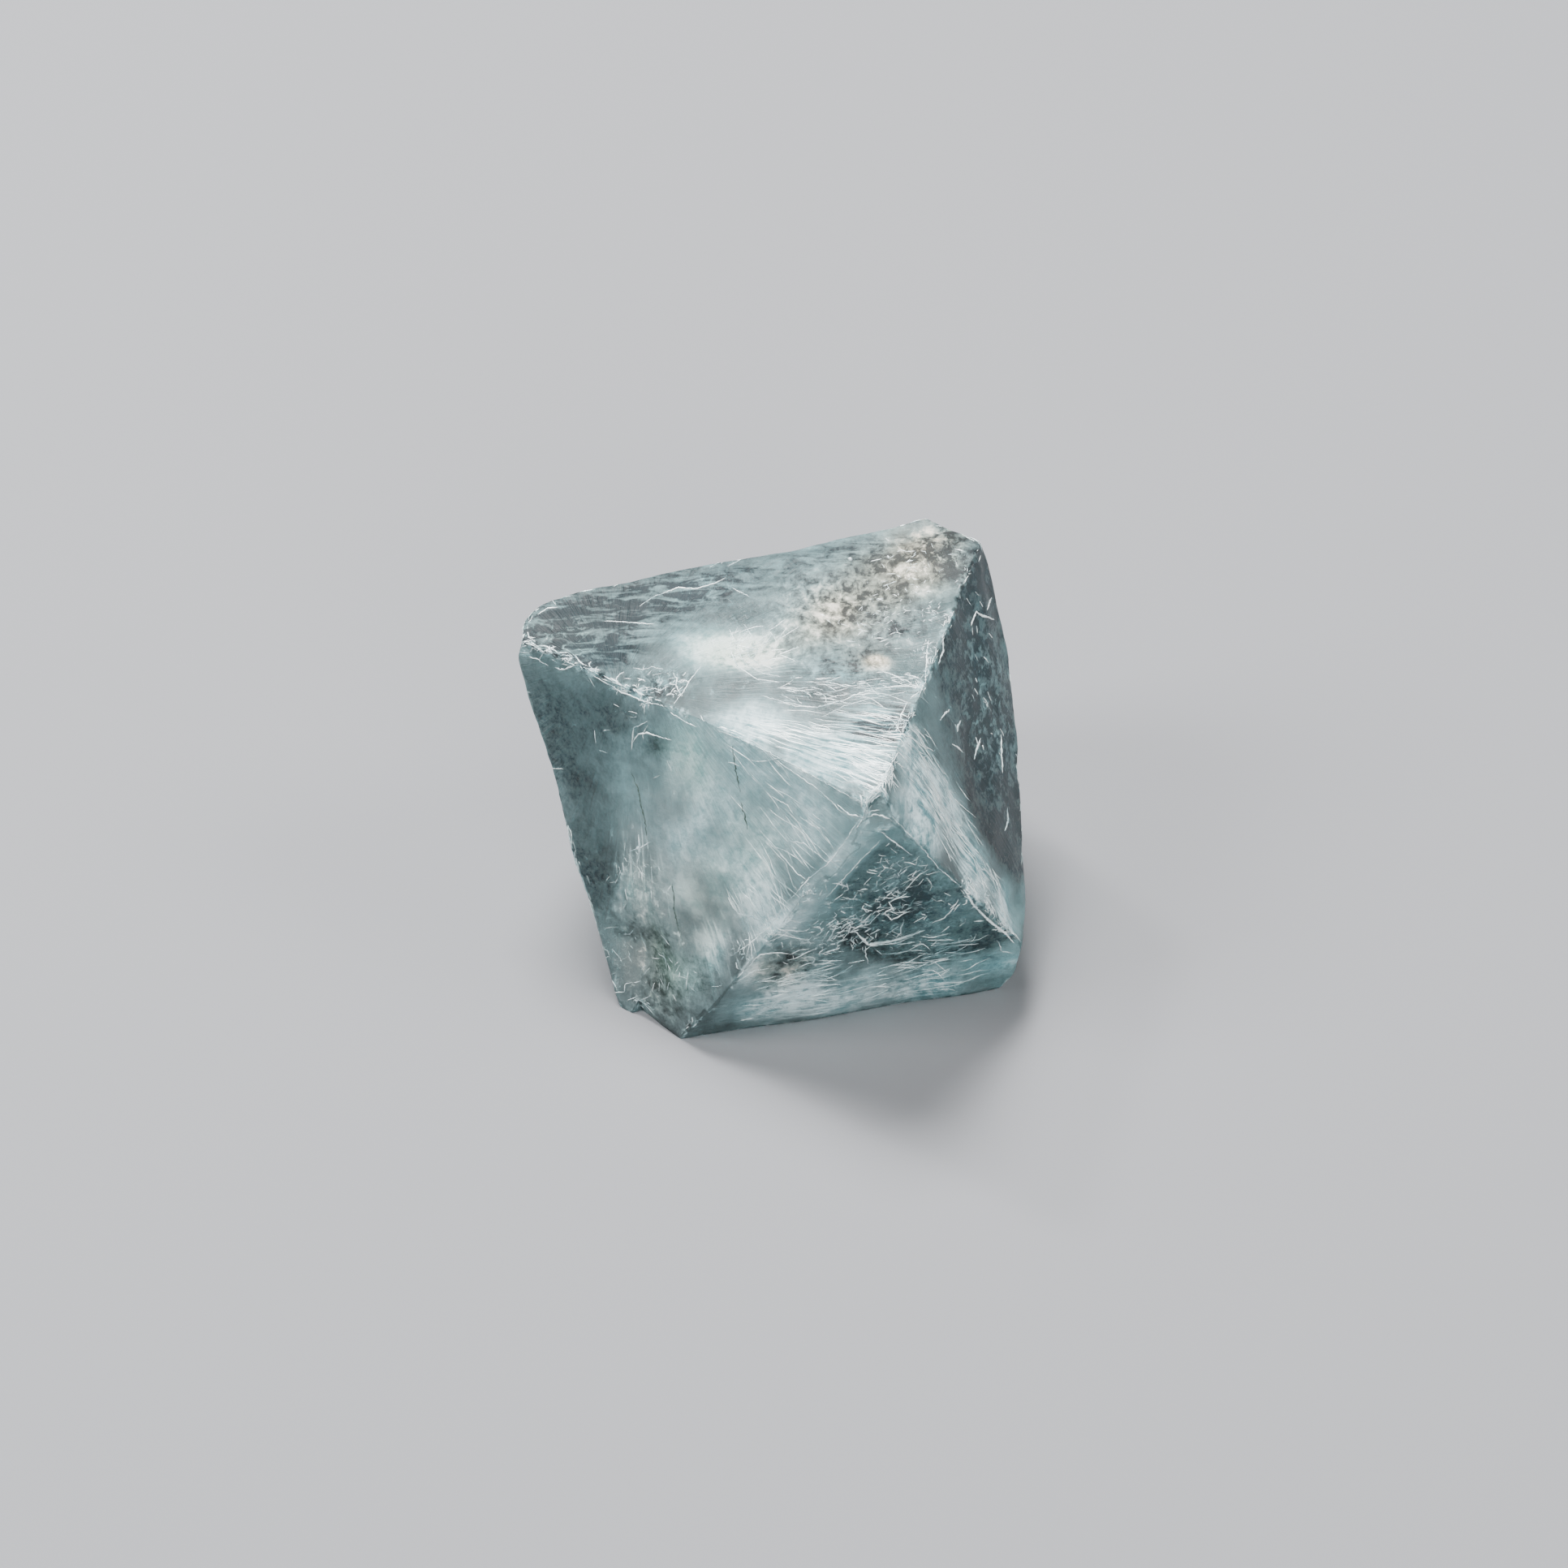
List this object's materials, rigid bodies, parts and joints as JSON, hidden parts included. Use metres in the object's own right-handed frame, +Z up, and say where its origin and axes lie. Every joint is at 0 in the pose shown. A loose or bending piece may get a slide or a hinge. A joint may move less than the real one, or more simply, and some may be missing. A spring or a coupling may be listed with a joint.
{
  "type": "octahedral fluorite crystal",
  "caption": "Loose pale blue-green octahedral crystal, clear to frosty, with etched faces and blunted corners, lying on one face.",
  "frame": {"origin": "centre of the crystal's bounding box, on the surface it rests on", "axes": "+Z up from the resting face; +Y away from the front corner; +X to the right seen from the front"},
  "size_m": [0.0222, 0.0248, 0.0143],
  "materials": {
    "fluorite": "etched, frosty and satin"
  },
  "bodies": {
    "root": {"fluorite_crystal": "fluorite"}
  },
  "joints": []
}
